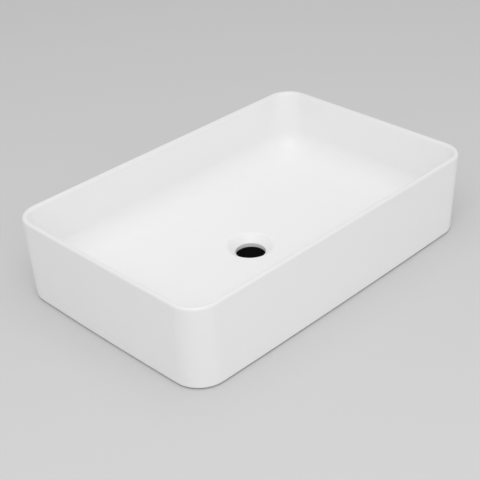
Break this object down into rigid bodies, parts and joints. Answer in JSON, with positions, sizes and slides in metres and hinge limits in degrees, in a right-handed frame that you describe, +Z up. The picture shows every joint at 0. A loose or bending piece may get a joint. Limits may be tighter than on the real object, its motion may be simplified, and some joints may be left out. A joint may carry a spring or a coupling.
{
  "type": "countertop basin",
  "caption": "Rectangular white glazed ceramic basin with round corners, a thin round rim, a wide inner cove and an open dished outlet, to stand on a worktop.",
  "frame": {"origin": "on the worktop, under the centre of the outlet and of the basin", "axes": "+X along the long side, towards the right end; +Y towards the rear long side; +Z up"},
  "size_m": [0.5798, 0.3748, 0.13],
  "materials": {
    "white_glaze": "smooth white glaze with a soft gloss, unglazed on the foot ring",
    "black_rubber": "matt black rubber",
    "clear_grey_silicone": "satin grey silicone"
  },
  "bodies": {
    "root": {"basin_bowl": "white_glaze", "outlet_gasket": "black_rubber", "foot_pad_front_left": "clear_grey_silicone", "foot_pad_front_middle": "clear_grey_silicone", "foot_pad_front_right": "clear_grey_silicone", "foot_pad_rear_left": "clear_grey_silicone", "foot_pad_rear_middle": "clear_grey_silicone", "foot_pad_rear_right": "clear_grey_silicone"}
  },
  "joints": []
}
